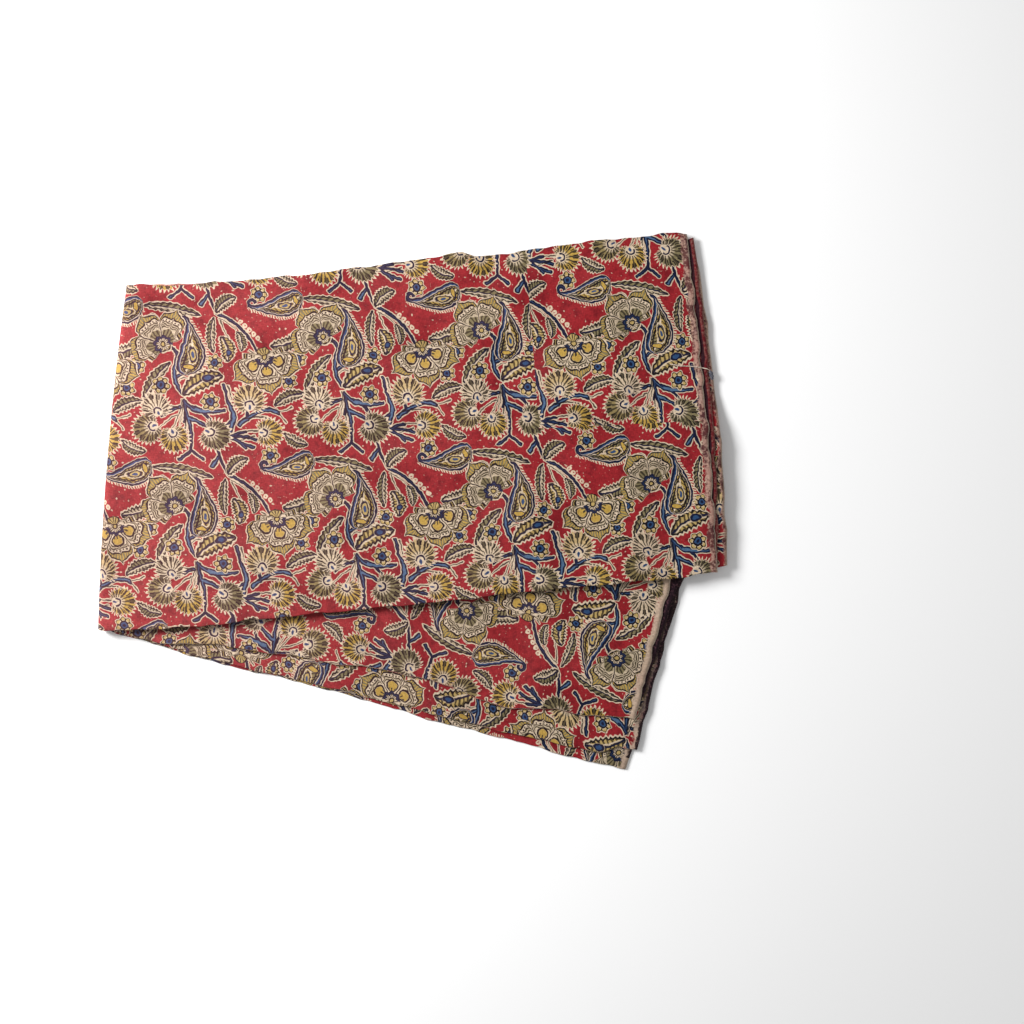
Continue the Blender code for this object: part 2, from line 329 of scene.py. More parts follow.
def surface(section, rings, along, up, side):
    # Corners of one face of the sheet: side is 1 for the printed face and -1 for its back.
    half = side * cloth["thickness"] / 2
    _, _, beyond, level, tilt, facing, _ = section.T
    upHere = up + beyond + half * tilt
    level = level + half * facing
    skew = cloth["foldSkew"]
    off = along * math.cos(skew) - upHere * math.sin(skew)
    downFold = along * math.sin(skew) + upHere * math.cos(skew)
    drop = cloth["pile"] + cloth["halfGap"]
    radius = cloth["halfGap"] / 2 + level
    axis = cloth["pile"] + cloth["halfGap"] / 2
    way, turn = rings[:, 1:2], rings[:, 2:3]
    atFold = np.maximum(off, 0.0) - radius * np.sin(turn)
    offHere = np.where(way > 0, off, np.where(way < 0, -off, atFold))
    sunk = drop * (1.0 - support(off, downFold))
    height = np.where(way > 0, axis + radius - sunk, axis + radius * np.cos(turn))
    return world(offHere, downFold, height)


def addMap(mesh, name, x, y):
    # A UV map with the same values on both faces of the sheet.
    corner = np.zeros(len(mesh.loops), dtype=np.int32)
    mesh.loops.foreach_get("vertex_index", corner)
    values = np.stack([np.tile(x.ravel(), 2), np.tile(y.ravel(), 2)], axis=-1)[corner]
    mesh.uv_layers.new(name=name).data.foreach_set("uv", values.ravel())


def addValue(mesh, name, values):
    mesh.attributes.new(name, "FLOAT", "POINT").data.foreach_set("value", values)


def newMesh(name, corners, faces):
    mesh = bpy.data.meshes.new(name)
    mesh.from_pydata(corners, [], faces)
    return mesh


def putIn(name, data):
    # A new object in the scene.
    thing = bpy.data.objects.new(name, data)
    bpy.context.scene.collection.objects.link(thing)
    return thing


def makeSheet():
    section = makeSection()
    rings = makeRings()
    along, up = placeOnCloth(section, rings)
    faces = [np.stack(surface(section, rings, along, up, side), axis=-1) for side in (1.0, -1.0)]
    corners = np.concatenate([face.reshape(-1, 3) for face in faces])
    low, high = corners.min(0), corners.max(0)
    middle = np.array([(low[0] + high[0]) / 2, (low[1] + high[1]) / 2, 0.0])
    corners = corners - middle
    columns, count = len(rings), len(section)
    index = np.arange(columns * count).reshape(columns, count)
    a, b = index[:-1, :-1].ravel(), index[1:, :-1].ravel()
    c, d = index[1:, 1:].ravel(), index[:-1, 1:].ravel()
    far = columns * count
    quads = [np.stack([a, b, c, d], 1), np.stack([d, c, b, a], 1) + far]
    for rim in (index[:, 0], index[-1, :], index[::-1, -1], index[0, ::-1]):
        quads.append(np.stack([rim[1:], rim[:-1], rim[:-1] + far, rim[1:] + far], 1))
    quads = np.concatenate(quads)
    mesh = newMesh("cottonCloth", corners.tolist(), quads.tolist())
    across, length = flatten(section, rings, along, up)
    addMap(mesh, "Print", *chartPlace(across, length))
    addMap(mesh, "Cloth", across, length)
    ends = np.where(rings[:, 1:2] > 0, along[0], np.where(rings[:, 1:2] < 0, along[-1], along[0]))
    inFrom = np.abs(ends - along)
    addValue(mesh, "fromSelvedge", np.tile(inFrom.ravel(), 2))
    addValue(mesh, "printed", np.repeat([1.0, 0.0], far))
    mesh.shade_smooth()
    print("cloth:", len(mesh.polygons) * 2, "triangles")
    return putIn("cottonCloth", mesh)


# Print of the cloth: one hand block, repeated. Lengths in millimetres, x along the row, y up.
block = {
    "repeat": (149.0, 153.0),
    "edgeSoftness": 0.35,
    "halo": 1.35,             # cream left round each shape
    "lineShare": 1.55,
    "handWander": 1.2,        # how far the hand-cut lines wander
    "handGrain": 5.0,         # and over what length
    "strokeShare": 0.98,
    "beadStep": 5.6,
    "joinAt": 121.6,          # where one impression of the block ends and the next overlaps it
    "joinWidth": 16.0,
    "joinSlip": 6.0,          # the last block of the first row stands this much too near
    "secondRow": -140.0,
    "joinSoft": 5.0,
    "unevenScale": 0.11,      # patches where the red took unevenly
    "speckScale": 0.36,
    "paisleyHalf": 28,        # half the length that the paisley is drawn at
    "paisleyGirth": 1.12,
    "leafGirth": 1.16,
    "leafLength": 1.03,
    "floretGirth": 1.12,
}


def tint(red, green, blue):
    # A colour as the eye reads it, from 0 to 255, in the light the renderer works in.
    return tuple(((part / 255 + 0.055) / 1.055) ** 2.4 if part > 10 else part / 255 / 12.92
                 for part in (red, green, blue)) + (1.0,)


dyes = {
    "red": tint(160, 40, 46),
    "redDeep": tint(120, 26, 34),
    "cream": tint(226, 204, 176),
    "ochre": tint(196, 168, 106),
    "gold": tint(196, 160, 78),
    "olive": tint(136, 124, 90),
    "oliveDark": tint(70, 62, 46),
    "blue": tint(50, 80, 120),
    "blueLight": tint(84, 112, 142),
    "navy": tint(24, 28, 54),
    "outline": tint(26, 20, 24),
}
dyes["oliveCream"] = tuple(0.7 * a + 0.3 * b for a, b in zip(dyes["cream"], dyes["olive"]))


class Wire:
    # One value running through a node tree, so that a shape can be written as a sum.
    def __init__(self, tree, socket):
        self.tree = tree
        self.socket = socket

    def math(self, kind, *others, clamp=False):
        node = self.tree.nodes.new("ShaderNodeMath")
        node.operation = kind
        node.use_clamp = clamp
        for slot, value in zip(node.inputs, (self, *others)):
            plug(value, slot)
        return Wire(self.tree, node.outputs[0])

    def ramp(self, by, plus):
        # Multiplied and added to, then kept between 0 and 1.
        return self.math("MULTIPLY_ADD", by, plus, clamp=True)

    def __rsub__(self, other):
        return self.scaled(-1.0, other)


def operation(kind):
    return lambda self, *others: self.math(kind, *others)


for label, kind in (
        ("__add__", "ADD"), ("__radd__", "ADD"), ("__sub__", "SUBTRACT"), ("__mul__", "MULTIPLY"),
        ("__rmul__", "MULTIPLY"), ("__truediv__", "DIVIDE"), ("scaled", "MULTIPLY_ADD"), ("least", "MINIMUM"),
        ("most", "MAXIMUM"), ("size", "ABSOLUTE"), ("above", "GREATER_THAN"), ("below", "LESS_THAN"),
        ("cos", "COSINE"), ("sin", "SINE"), ("power", "POWER")):
    setattr(Wire, label, operation(kind))


def treeOf(*values):
    return next(value.tree for value in values if isinstance(value, Wire))


def plug(value, slot):
    if isinstance(value, Wire):
        value.tree.links.new(value.socket, slot)
    else:
        slot.default_value = value


def newGroup(name, inputs, outputs):
    # A shader node group with named sockets, each with its kind. A number is a float socket's first value.
    tree = bpy.data.node_groups.new(name, "ShaderNodeTree")
    for way, sockets in (("INPUT", inputs), ("OUTPUT", outputs)):
        for label, kind in sockets.items():
            named = isinstance(kind, str)
            socketType = "NodeSocket" + (kind if named else "Float")
            socket = tree.interface.new_socket(name=label, in_out=way, socket_type=socketType)
            if not named:
                socket.default_value = kind
    entry = tree.nodes.new("NodeGroupInput")
    tree.nodes.new("NodeGroupOutput")
    return {label: Wire(tree, entry.outputs[label]) for label in inputs}


def giveOut(**results):
    # Ends a group with its results, and returns the group.
    tree = treeOf(*results.values())
    leave = next(node for node in tree.nodes if node.type == "GROUP_OUTPUT")
    for label, value in results.items():
        plug(value, leave.inputs[label])
    return tree


def place(group, **values):
    # Puts a group into a tree and returns its outputs by name.
    tree = treeOf(*values.values())
    node = tree.nodes.new("ShaderNodeGroup")
    node.node_tree = group
    for label, value in values.items():
        plug(value, node.inputs[label])
    return {socket.name: Wire(tree, socket) for socket in node.outputs}


def vector(kind, *values):
    tree = treeOf(*values)
    node = tree.nodes.new("ShaderNodeVectorMath")
    node.operation = kind
    for slot, value in zip(node.inputs, values):
        plug(value, slot)
    return Wire(tree, node.outputs["Value" if kind in ("LENGTH", "DOT_PRODUCT") else "Vector"])


def parts(point):
    node = point.tree.nodes.new("ShaderNodeSeparateXYZ")
    plug(point, node.inputs[0])
    return [Wire(point.tree, socket) for socket in node.outputs]


def joined(x, y, z=0.0):
    tree = treeOf(x, y, z)
    node = tree.nodes.new("ShaderNodeCombineXYZ")
    for slot, value in zip(node.inputs, (x, y, z)):
        plug(value, slot)
    return Wire(tree, node.outputs[0])


def distance(x, y):
    return vector("LENGTH", joined(x, y))


def paint(under, over, mask):
    # A colour laid over another one where the mask is 1. A name stands for one of the dyes.
    tree = treeOf(under, over, mask)
    node = tree.nodes.new("ShaderNodeMix")
    node.data_type = "RGBA"
    for slot, value in ((0, mask), (6, under), (7, over)):
        plug(dyes[value] if isinstance(value, str) else value, node.inputs[slot])
    return Wire(tree, node.outputs[2])


def layers(colour, *rows):
    # Dyes and masks, each laid over the ones before.
    for over, mask in rows:
        colour = paint(colour, over, mask)
    return colour


def inside(reach, soft=None):
    # 1 within a shape, 0 outside it, from its signed distance.
    soft = soft or block["edgeSoftness"]
    return reach.ramp(-1.0 / soft, 0.5)


def line(reach, at, width):
    # 1 on a line that follows a shape's edge, at that distance from it.
    away = (reach - at).size()
    soft = block["edgeSoftness"]
    return away.ramp(-1.0 / soft, width * block["lineShare"] / 2 / soft + 0.5)


def noiseAt(point, scale, detail=2.0, rough=0.5):
    node = point.tree.nodes.new("ShaderNodeTexNoise")
    node.noise_dimensions = "2D"
    for label, value in (("Scale", scale), ("Detail", detail), ("Roughness", rough), ("Vector", point)):
        plug(value, node.inputs[label])
    return Wire(point.tree, node.outputs["Fac"]), Wire(point.tree, node.outputs["Color"])


def curve(value, points):
    # A curve through a few points, both ways from 0 to 1.
    node = value.tree.nodes.new("ShaderNodeFloatCurve")
    drawn = node.mapping.curves[0]
    while len(drawn.points) < len(points):
        drawn.points.new(0.5, 0.5)
    for point, where in zip(drawn.points, points):
        point.location = where
    node.mapping.update()
    plug(value, node.inputs["Value"])
    return Wire(value.tree, node.outputs[0])


def wrapped(point, middle):
    # Way from a shape's middle to the point, for the nearest of its repeats.
    half = (block["repeat"][0] / 2, block["repeat"][1] / 2, 500.0)
    return vector("WRAP", vector("SUBTRACT", point, middle), half, tuple(-side for side in half))


noneNear = 1000.0  # distance before any shape is met, in millimetres


def nearerCopyGroup():
    # Local place on a copy of a shape, where that copy is nearer than the ones before.
    given = newGroup("nearer copy", {
        "Point": "Vector", "Middle": "Vector", "Across": "Vector", "Upward": "Vector", "Kind": 0.0,
        "Best": "Vector", "Reach": noneNear}, {"Best": "Vector", "Reach": "Float"})
    away = wrapped(given["Point"], given["Middle"])
    local = joined(vector("DOT_PRODUCT", away, given["Across"]),
                   vector("DOT_PRODUCT", away, given["Upward"]), given["Kind"])
    far = vector("LENGTH", local)
    chosen = far.tree.nodes.new("ShaderNodeMix")
    chosen.data_type = "VECTOR"
    for slot, value in ((0, far.below(given["Reach"])), (4, given["Best"]), (5, local)):
        plug(value, chosen.inputs[slot])
    return giveOut(Best=Wire(far.tree, chosen.outputs[1]), Reach=far.least(given["Reach"]))


def strokeGroup():
    # Distance to a stroke: a short arc from -1 to 1 along its own x, bowed sideways, wider at one end.
    given = newGroup("stroke", {
        "Point": "Vector", "Middle": "Vector", "Across": "Vector", "Upward": "Vector", "Half": 10.0,
        "Bow": 0.0, "Width": 2.0, "Taper": 0.0, "Before": noneNear}, {"Reach": "Float"})
    away = wrapped(given["Point"], given["Middle"])
    x = vector("DOT_PRODUCT", away, given["Across"])
    y = vector("DOT_PRODUCT", away, given["Upward"])
    square = x * x
    side = square.scaled(given["Bow"], y)
    past = square.scaled(0.5, -0.5).most(0.0)
    near = distance(side, past)
    wide = x.scaled(given["Taper"], given["Width"])
    return giveOut(Reach=near.scaled(given["Half"], wide).least(given["Before"]))


# Shapes of the block, in millimetres.
# Florets, flowers, carnations and chains: x and y of the middle, turn in degrees, size, and kind.
# Leaves: x and y of the foot and of the tip, width, which side is up, and kind. The kind picks the colours.
# Paisleys: foot, tip, and which side is up. Strokes: both ends, how far they bow, and the width at each end.
florets = (
    (48.8, -63.7, 10, 1.00, 0.0),
    (69.9, -82.6, 40, 1.05, 0.0),
    (119.9, -63.6, 75, 0.95, 0.0),
    (113.6, -100.3, 20, 1.05, 0.0),
    (38.6, -84.0, 130, 0.95, 0.0),
    (16.0, -153.5, 200, 1.00, 0.0),
)
flowers = (
    (17.5, -60.5, -83, 0.98, 0.1),
    (74.0, -44.0, 127, 0.96, 0.0),
)
paisleys = (
    (92.0, -72.5, 102.0, -20.0, -1),
    (55.0, -2.5, 8.5, -17.5, 1),
)
leaves = (
    (57.4, -5.1, 109.6, -17.4, 7.5, 1, 0.0),
    (53.3, -43.1, 24.9, -52.1, 10.5, 1, 0.0),
    (52.9, -94.0, 78.0, -61.0, 9.0, 1, 0.0),
    (51.6, -95.1, 23.2, -105.0, 9.5, -1, 0.0),
    (51.2, -146.0, 30.1, -134.5, 8.5, 1, 0.0),
    (120.8, -20.8, 118.0, -54.0, 7.0, -1, 0.0),
    (123.4, -167.9, 143.0, -153.8, 10.0, 1, 0.0),
    (144.0, -34.7, 147.3, -54.0, 7.0, 1, 0.0),
    (129.7, -39.0, 133.9, -63.0, 11.0, 1, 0.1),
    (89.0, -90.5, 125.5, -74.0, 14.0, 1, 0.1),
)
carnations = (
    (63.8, -102.6, 110, 1.00, 0.2),
    (55.3, -123.0, 200, 1.05, 0.8),
    (78.7, -133.4, 280, 1.00, 0.5),
    (115.8, -131.7, 330, 1.10, 0.9),
    (149.5, -99.7, 90, 1.12, 0.3),
    (16.5, -131.6, 0, 1.00, 0.5),
)
chains = (
    (154.2, -34.4, -48.0, 1.00, 0.0),
)
blueStrokes = (
    (127, -18, 160, -55, 5, 2.6, 2.0),
    (117, -145, 125, -170, -1, 2.2, 1.6),
    (117, -153, 111, -161, 0, 2.6, 4.2),
    (82, -47, 87, -56, 1, 2.2, 2.6),
    (87, -56, 83, -76, -1, 2.6, 4.0),
    (83, -76, 89, -92, -1, 4.0, 2.2),
    (86, -75, 104, -71, 2, 3.2, 2.0),
    (90, -98, 100, -108, -1, 2.6, 3.4),
    (100, -107, 126, -109, -1.5, 5.4, 2.4),
    (90, -99, 94, -121, -0.5, 2.4, 3.4),
    (94, -121, 93, -145, 0.5, 3.0, 1.8),
    (93, -145, 82, -153, 0.5, 1.8, 2.8),
    (93, -145, 103, -154, 0, 1.8, 2.8),
    (93, -115, 112, -126, 1, 4.4, 1.8),
    (127, -85, 129, -99, 0.5, 2.8, 2.0),
    (129, -99, 134, -117, 1, 2.2, 5.0),
    (134, -117, 129, -135, -0.5, 4.6, 2.4),
    (139, -123, 158, -112, 1, 4.2, 3.0),
    (158, -112, 175, -113, 2, 3.0, 4.0),
    (129, -135, 144, -130, 1, 2.6, 2.2),
    (130, -135, 143, -145, 1, 2.6, 2.8),
    (138, -140, 150, -145, 0, 2.4, 2.8),
    (146, -109, 147, -119, 0, 2.0, 2.4),
    (71, -25, 65, -16, -1.5, 1.8, 3.0),
    (91, -99, 89, -118, 0.8, 2.6, 1.8),
    (97, -104, 112, -117, 1.5, 2.4, 2.0),
    (86, -104, 69, -112, -1, 3.0, 1.8),
    (134, -134, 153, -138, 1, 2.4, 2.6),
    (131, -120, 121, -127, 0, 2.6, 1.8),
)
creamStrokes = (
    (127, -22, 142, -34, 1, 2.4, 2.0),
    (86, -80, 96, -78, 2.5, 2.0, 2.6),
    (88, -97, 84, -112, 1, 2.6, 2.4),
    (84, -112, 75, -127, 1, 2.4, 2.0),
    (89, -101, 84, -122, 0.5, 2.4, 2.0),
    (85, -105, 66, -103, -1.5, 3.0, 2.0),
    (83, -111, 66, -123, -1, 3.0, 2.0),
    (175, -113, 182, -123, 0.5, 2.2, 2.8),
    (175, -113, 189, -109, -0.5, 2.2, 2.8),
    (144, -130, 158, -130, 0.5, 2.4, 3.0),
    (138, -138, 152, -134, 0, 2.2, 3.0),
    (153, -53, 159, -59, 0, 2.4, 3.0),
    (167, -54, 161, -59, 0, 2.4, 3.0),
    (85, -48, 78, -50, 0, 2.4, 2.6),
    (131, -86, 133, -100, 0.5, 3.2, 2.2),
    (141, -119, 168, -119, 2.5, 2.4, 3.2),
    (90, -100, 89, -130, 0.5, 2.0, 3.0),
    (128, -24, 137, -45, -1, 2.6, 2.0),
)


def axes(turn, length, width):
    # Unit ways along and across a shape, each divided by its size that way.
    cos, sin = math.cos(math.radians(turn)), math.sin(math.radians(turn))
    return (cos / length, sin / length, 0.0), (-sin / width, cos / width, 0.0)


def nearest(point, group, rows):
    # Runs through the copies of a shape. Each row gives its middle, turn, length, width and kind.
    best = {"Best": (0.0, 0.0, 0.0), "Reach": noneNear}
    for middle, turn, length, width, kind in rows:
        across, upward = axes(turn, length, width)
        best = place(group, Point=point, Middle=(*middle, 0.0), Across=across, Upward=upward, Kind=kind,
                     **best)
    return best["Best"]


def span(x0, y0, x1, y1):
    # Middle, turn and half length of a shape that is given by its two ends.
    turn = math.degrees(math.atan2(y1 - y0, x1 - x0))
    return ((x0 + x1) / 2, (y0 + y1) / 2), turn, math.hypot(x1 - x0, y1 - y0) / 2


def strokes(point, group, rows):
    # Distance to the nearest stroke.
    reach = noneNear
    for *ends, bow, start, end in rows:
        (x, y), turn, half = span(*ends)
        start, end = start * block["strokeShare"], end * block["strokeShare"]
        across, upward = axes(turn, half, half)
        middle = (x + upward[0] * half * bow, y + upward[1] * half * bow, 0.0)
        reach = place(group, Point=point, Middle=middle, Across=across, Upward=upward, Half=half,
                      Bow=bow / half, Width=-(start + end) / 4, Taper=(start - end) / 4,
                      Before=reach)["Reach"]
    return reach


def shapeGroup(name):
    # A group that paints one shape over the colour under it. Its point is in the shape's own millimetres.
    given = newGroup(name, {"Point": "Vector", "Under": "Color"}, {"Over": "Color"})
    return given["Point"], given["Under"]


def floretGroup():
    point, colour = shapeGroup("floret")
    x, y, _ = parts(point)
    away = vector("LENGTH", point)
    lobes = (y.math("ARCTAN2", x) * 7.0).cos()
    reach = away - lobes.scaled(0.8, 6.2)
    colour = paint(colour, "cream", inside(reach - 1.2))
    petals = paint("cream", "ochre", (away - 4.4).ramp(1.2, 0.5))
    split = lobes.ramp(-3.5, -1.4) * away.ramp(2.0, -6.2)
    petals = paint(petals, "outline", split)
    colour = layers(
        colour,
        (petals, inside(reach)),
        ("outline", line(reach, 0.1, 0.5)),
        ("outline", line(away, 3.1, 0.9)),
        ("blue", inside(away - 2.6)),
        ("navy", inside(away - 1.4)))
    return giveOut(Over=colour)


def flowerGroup():
    # Three ogee petals round a cup. x points to the tip of the middle petal.
    point, colour = shapeGroup("three-petal flower")
    x, y, gilded = parts(point)
    away = distance(x, y)
    angle = y.math("ARCTAN2", x).size() * (180 / math.pi)
    petal = (angle - 62.0).size().least(angle)
    tip = petal.ramp(-1.0 / 33.0, 1.0)
    rear = angle.ramp(-1.0 / 28.0, 122.0 / 28.0)
    ogee = curve(tip, ((0.0, 0.0), (0.10, 0.30), (0.40, 0.62), (0.72, 0.71), (0.90, 0.82), (1.0, 1.0)))
    front = ogee.scaled(17.5, 18.8)
    side = curve(rear, ((0.0, 0.0), (0.25, 0.34), (0.6, 0.80), (1.0, 1.0))).scaled(20.0, 7.0)
    edge = front.least(side.most(angle.below(94.0) * 60.0))
    edge = edge.least(side + angle.below(90.0) * 60.0)
    reach = (away - edge) * 0.85
    hearted = gilded.above(0.05)
    colour = paint(colour, "cream", inside(reach - 1.7))
    colour = paint(colour, "outline", line(reach, 0.0, 0.95))
    band = paint("olive", "gold", (angle * 1.3 + hearted * 70.0 - 40.0).sin() * 1.6)
    colour = paint(colour, band, inside(reach + 0.45))
    inner = reach + (tip * tip).scaled(5.0, 1.9)
    colour = paint(colour, "cream", inside(inner))
    colour = paint(colour, "outline", line(inner, 0.0, 0.95))
    dots = (angle * 0.8).cos().ramp(3.0, 0.4)
    colour = layers(
        colour,
        ("outline", line(inner, -2.1, 0.8) * dots),
        ("oliveDark", line(inner, -3.7, 0.8)),
        ("oliveCream", inside(inner + 4.2)),
        ("oliveDark", line(inner, -5.6, 0.7)),
        ("oliveDark", line(inner, -7.3, 0.6)),
        ("cream", inside(inner + 6.6) * hearted))
    ribs = (angle * 0.42).cos().ramp(3.0, 0.2)
    shade = paint("olive", "oliveDark", ribs)
    colour = paint(colour, shade, inside(away - petal * -0.12 - 16.4) * (1.0 - hearted))
    heart = distance((away - 13.5) * 0.8, petal * 0.2) - 3.6
    fill = paint("gold", "oliveDark", inside(away - 12.5) * ribs)
    colour = paint(colour, "outline", line(heart, 0.7, 0.8) * hearted)
    colour = paint(colour, fill, inside(heart) * hearted)
    seam = (angle - 31.0).size() * away * (math.pi / 180)
    colour = paint(colour, "cream", inside(seam - 1.2) * inside(reach + 1.0) * 0.8)
    colour = paint(colour, "outline", inside(seam - 0.5) * inside(reach))
    scallop = (angle * (math.pi / 180 * 8)).cos()
    cup = away - scallop.scaled(0.9, 8.0)
    ring = angle.below(132.0 - hearted * 42.0)
    colour = layers(
        colour,
        ("cream", inside(cup - 0.8) * ring),
        ("blue", inside(cup) * ring),
        ("navy", line(cup, 0.0, 1.2) * ring),
        ("cream", inside(cup + 2.0)),
        ("navy", line(cup, -2.0, 1.0) * ring))
    spokes = (angle * (math.pi / 180 * 16)).cos().ramp(2.0, 0.1)
    colour = layers(
        colour,
        ("oliveDark", inside(cup + 2.4) * spokes * away.above(2.0)),
        ("ochre", inside(away - 2.4)),
        ("outline", line(away, 2.4, 0.8)))
    calyx = distance((x + 5.5) * 1.2, y * 0.75) - 4.2
    colour = layers(
        colour,
        ("outline", inside(calyx - 0.6) * hearted),
        ("ochre", inside(calyx + 0.4) * hearted),
        ("oliveDark", inside(calyx + 0.6) * spokes * hearted))
    return giveOut(Over=colour)


def paisleyGroup():
    # A drop from its round foot at -x to a curled tip at +x. Its belly is on the +y side.
    point, colour = shapeGroup("paisley")
    x, y, _ = parts(point)
    run = x.scaled(1 / 60, 0.5)
    wide = curve(run, ((0.0, 0.0), (0.03, 0.38), (0.10, 0.80), (0.22, 1.0), (0.40, 0.97), (0.58, 0.72),
                       (0.74, 0.44), (0.88, 0.23), (0.96, 0.15), (1.0, 0.0))).scaled(11.6, -0.5)
    middle = (run - 0.38) * (run - 0.38) * -30.0 + 4.6
    side = y - middle
    off = side.size() - wide
    away = distance(x - 24.0, y + 7.6)
    curl = ((away - 3.5).size() - 1.5).most((24.0 - x).least(y + 6.6))
    reach = off.least(curl) + x.size().scaled(1.0, -29.0).most(0.0)
    convex = side.above(0.0)
    colour = paint(colour, "cream", inside(reach - 1.0))
    teeth = (x * (math.pi * 2 / 2.5)).cos().ramp(2.5, 0.6)
    colour = layers(
        colour,
        ("cream", inside(reach - 3.6) * side.above(2.0) * teeth * reach.above(0.0)),
        ("blue", inside(reach)),
        ("navy", line(reach, -0.5, 1.2)))
    inner = off + convex.scaled(-1.0, 2.6)
    colour = paint(colour, "cream", inside(inner))
    colour = paint(colour, "navy", line(inner, -1.3, 0.9))
    hatch = (x * 1.7 + side.size() * 1.3).cos()
    fill = paint("olive", "gold", (x * 0.35 + side * 0.5).sin() * 0.5 + 0.3)
    fill = paint(fill, "outline", hatch.ramp(2.5, -0.6) * 0.9)
    fill = paint(fill, "cream", line(side, -0.6, 0.9))
    colour = paint(colour, fill, inside(inner + 1.7))
    colour = paint(colour, "outline", line(inner, -3.4, 0.9))
    drop = distance((x + 8.0 + side * 0.9) * 0.50, side - 0.5) - 3.6
    colour = layers(
        colour,
        ("cream", line(drop, 0.9, 0.4)),
        ("navy", inside(drop)),
        ("ochre", inside(drop + 1.0)),
        ("blue", inside(drop + 2.2)))
    lens = distance((x + 21.0) * 1.3, side * 0.62) - 2.6
    colour = paint(colour, "navy", inside(lens - 1.0))
    colour = paint(colour, "gold", inside(lens))
    return giveOut(Over=colour)


def leafGroup():
    # A toothed leaf from -1 to 1 along x and y, with a bent midrib. z tells the gold kind from the olive one.
    point, colour = shapeGroup("leaf")
    x, y, kind = parts(point)
    gold = kind.above(0.05)
    square = x * x
    bent = square.scaled(0.55, y) - 0.28
    taper = (1.0 - square).most(0.0).power(0.7)
    teeth = (x * 26.0 + bent.size() * 2.0).cos()
    wide = taper * teeth.scaled(0.13, 0.90)
    reach = (bent.size() - wide) * 4.2 + (square - 1.0).most(0.0) * 12.0
    colour = paint(colour, "cream", inside(reach - 1.35))
    veins = (x * 30.0 - bent.size() * 5.0).cos()
    upper = bent.above(0.0)
    fill = paint("olive", "cream", (1.0 - upper) * 0.5)
    fill = paint(fill, "ochre", gold)
    fill = paint(fill, "outline", veins.ramp(2.2, 0.1) * 0.85)
    fill = paint(fill, "cream", (bent * 4.2 + 0.95).size().ramp(-2.5, 1.5))
    fill = paint(fill, "navy", (bent.size() * 4.2).ramp(-2.5, 1.9))
    colour = paint(colour, fill, inside(reach))
    colour = paint(colour, "outline", line(reach, -0.1, 0.7))
    bud = (distance((x - 0.35) * 2.6, bent * 1.6) - 0.55) * 5.0
    colour = layers(
        colour,
        ("cream", inside(bud - 1.0) * gold),
        ("blue", inside(bud) * gold),
        ("navy", line(bud, 0.0, 1.1) * gold))
    return giveOut(Over=colour)


def carnationGroup():
    # A fringed fan that springs from a small cup near its foot, at -x. z tells how dark its petals are.
    point, colour = shapeGroup("carnation")
    x, y, kind = parts(point)
    away = distance(x, y)
    forward = x + 5.0
    fromFoot = distance(forward, y)
    angle = y.math("ARCTAN2", forward)
    rays = (angle * 30.0).cos()
    cut = (angle.size() - 2.25).most(0.0) * fromFoot
    reach = away - rays.scaled(0.8, 12.2) + cut * 1.6
    colour = paint(colour, "cream", inside(reach - rays.scaled(1.0, 1.5)))
    petals = paint("cream", "gold", kind.ramp(5.0, -0.9))
    petals = paint(petals, "olive", kind.ramp(6.0, -4.0))
    outer = (fromFoot - 6.0).ramp(0.4, 0.0)
    fill = paint("cream", petals, outer.most(0.3))
    inner = (angle * 17.0).cos().ramp(3.0, -0.7 + kind * 1.2)
    fill = paint(fill, "oliveDark", inner * fromFoot.above(5.0) * 0.95)
    dashes = rays.ramp(-2.5, -0.5)
    fill = paint(fill, "outline", dashes * away.above(7.2))
    colour = layers(
        colour,
        (fill, inside(reach)),
        ("cream", inside(fromFoot - 4.8)),
        ("navy", line(fromFoot, 3.5, 1.0) * forward.above(-0.8)))
    stalk = distance((forward + 1.6) * 0.5, y) - 1.1
    colour = paint(colour, "blue", inside(stalk))
    colour = paint(colour, "navy", inside(stalk + 0.8))
    return giveOut(Over=colour)


def beadGroup():
    # A row of little rings along x.
    point, colour = shapeGroup("ring chain")
    x, y, _ = parts(point)
    step = block["beadStep"]
    near = x.math("WRAP", step / 2, -step / 2)
    away = distance(near, y) + (x.size() - step * 2.6).most(0.0)
    colour = paint(colour, "cream", line(away, 1.5, 1.1))
    return giveOut(Over=colour)


def copiesOf(rows, girth=1.0):
    return [((x, y), turn, size * girth, size * girth, kind) for x, y, turn, size, kind in rows]


def paisleyCopies():
    copies = []
    for *ends, flip in paisleys:
        middle, turn, half = span(*ends)
        size = half / block["paisleyHalf"]
        copies.append((middle, turn, size, size * flip * block["paisleyGirth"], 0.0))
    return copies


def leafCopies():
    copies = []
    for *ends, width, flip, kind in leaves:
        middle, turn, half = span(*ends)
        copies.append((middle, turn, half * block["leafLength"], width * block["leafGirth"] / 2 * flip, kind))
    return copies


